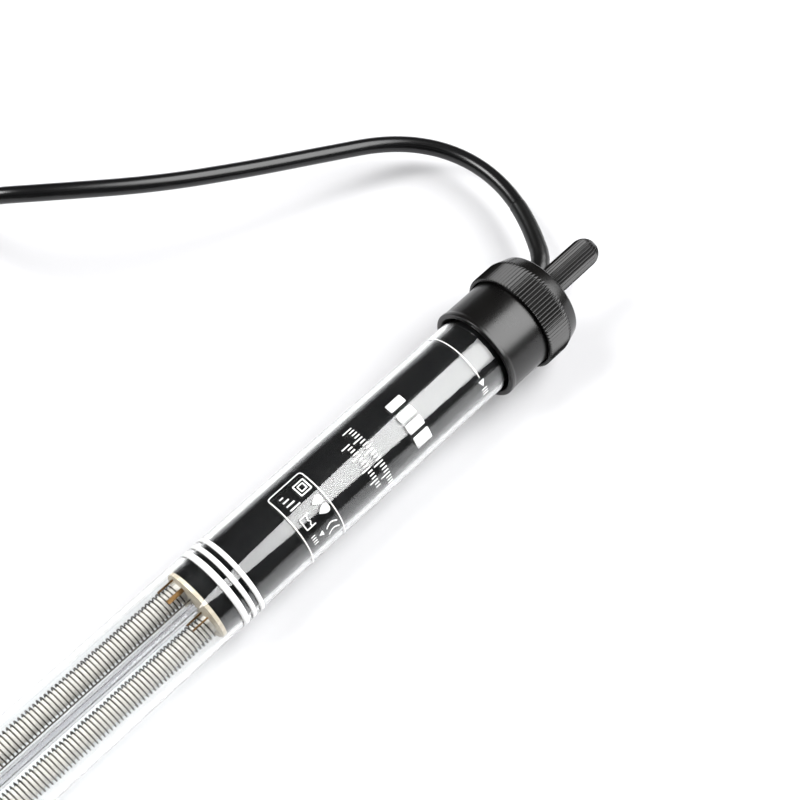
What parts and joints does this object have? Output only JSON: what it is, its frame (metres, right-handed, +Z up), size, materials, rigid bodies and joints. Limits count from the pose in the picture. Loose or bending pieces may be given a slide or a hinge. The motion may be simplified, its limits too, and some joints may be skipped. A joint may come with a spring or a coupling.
{
  "type": "submersible aquarium heater",
  "caption": "Submersible aquarium heater: sealed glass tube with heating coils and thermostat, knurled cap nut, ribbed temperature knob and mains cord with plug.",
  "frame": {"origin": "under the middle of the heater, 165 mm from the closed end of the glass, on the surface the heater lies on", "axes": "+X along the heater towards the knob, +Y to the side the cord leaves towards, +Z up from the surface the heater lies on"},
  "size_m": [0.3397, 0.2599, 0.0461],
  "materials": {
    "clear_glass": "clear, polished",
    "amber_lens": "glossy",
    "head_plastic": "satin",
    "knob_plastic": "satin, ribbed",
    "black_rubber": "matt",
    "cord_jacket": "satin",
    "tie_plastic": "satin",
    "plug_plastic": "satin",
    "nickel_pins": "polished nickel",
    "sleeve_black": "black coated",
    "mica": "pale, pressed mica",
    "ceramic_former": "unglazed ceramic",
    "resistance_wire": "oxidised wire",
    "brass_parts": "bright",
    "silicone_pad": "moulded silicone",
    "core_insulation": "satin",
    "capacitor_case": "glossy",
    "steel_parts": "plain",
    "frame_plastic": "moulded",
    "contact_silver": "plain"
  },
  "bodies": {
    "heater": {"arm_pin": "steel_parts", "cap_nut": "head_plastic", "centre_rod": "clear_glass", "coil_bridge": "resistance_wire", "coil_former_left": "ceramic_former", "coil_former_right": "ceramic_former", "collar": "head_plastic", "compression_ring": "black_rubber", "cord_coil": "cord_jacket", "cord_cores": "core_insulation", "cord_gland": "black_rubber", "cord_lead": "cord_jacket", "cord_tail": "cord_jacket", "cord_tie": "tie_plastic", "core_terminals": "brass_parts", "end_cushion": "silicone_pad", "glass_tube": "clear_glass", "head_stopper": "head_plastic", "heating_coil_left": "resistance_wire", "heating_coil_right": "resistance_wire", "indicator_lamp": "amber_lens", "inner_sleeve": "sleeve_black", "lamp_resistor": "core_insulation", "lead_tabs": "brass_parts", "lower_end_disc": "mica", "pin_sleeves": "plug_plastic", "plug_body": "plug_plastic", "plug_pins": "nickel_pins", "return_wire": "resistance_wire", "rim_gasket": "black_rubber", "screw_bush": "brass_parts", "snap_magnet": "steel_parts", "spindle_seal": "black_rubber", "stopper_orings": "black_rubber", "suppression_capacitor": "capacitor_case", "thermal_fuse": "steel_parts", "thermostat_frame": "frame_plastic", "upper_end_disc": "mica"},
    "dial": {"adjusting_knob": "knob_plastic", "knob_spindle": "knob_plastic", "spindle_clip": "steel_parts"},
    "screw": {"adjusting_screw": "steel_parts"},
    "arm": {"setting_arm": "brass_parts", "set_contact": "contact_silver"},
    "bimetal": {"bimetal_strip": "steel_parts", "moving_contact": "contact_silver"}
  },
  "joints": [
    {"name": "knob_turn", "type": "hinge", "parent": "heater", "child": "dial", "pos_m": [0.13586, -0.00135, 0.02561], "axis": [0.9999, 0, 0.017], "range_deg": [-135, 135]},
    {"name": "screw_feed", "type": "slide", "parent": "dial", "child": "screw", "axis": [0.9999, 0, 0.017], "range_m": [-0.0002651, 0.0002651]},
    {"name": "arm_tilt", "type": "hinge", "parent": "heater", "child": "arm", "pos_m": [0.08066, -0.00011, 0.01942], "axis": [-0.0039, 0.9736, 0.2283], "range_deg": [-2.81, 2.81]},
    {"name": "bimetal_bend", "type": "hinge", "parent": "heater", "child": "bimetal", "pos_m": [0.02589, -0.00114, 0.02286], "axis": [-0.0039, 0.9736, 0.2283], "range_deg": [0, 1.8]}
  ],
  "couplings": [
    {"joint": "screw_feed", "follows": "knob_turn", "m_per_rad": 0.00011141},
    {"joint": "arm_tilt", "follows": "knob_turn", "ratio": 0.020631}
  ]
}
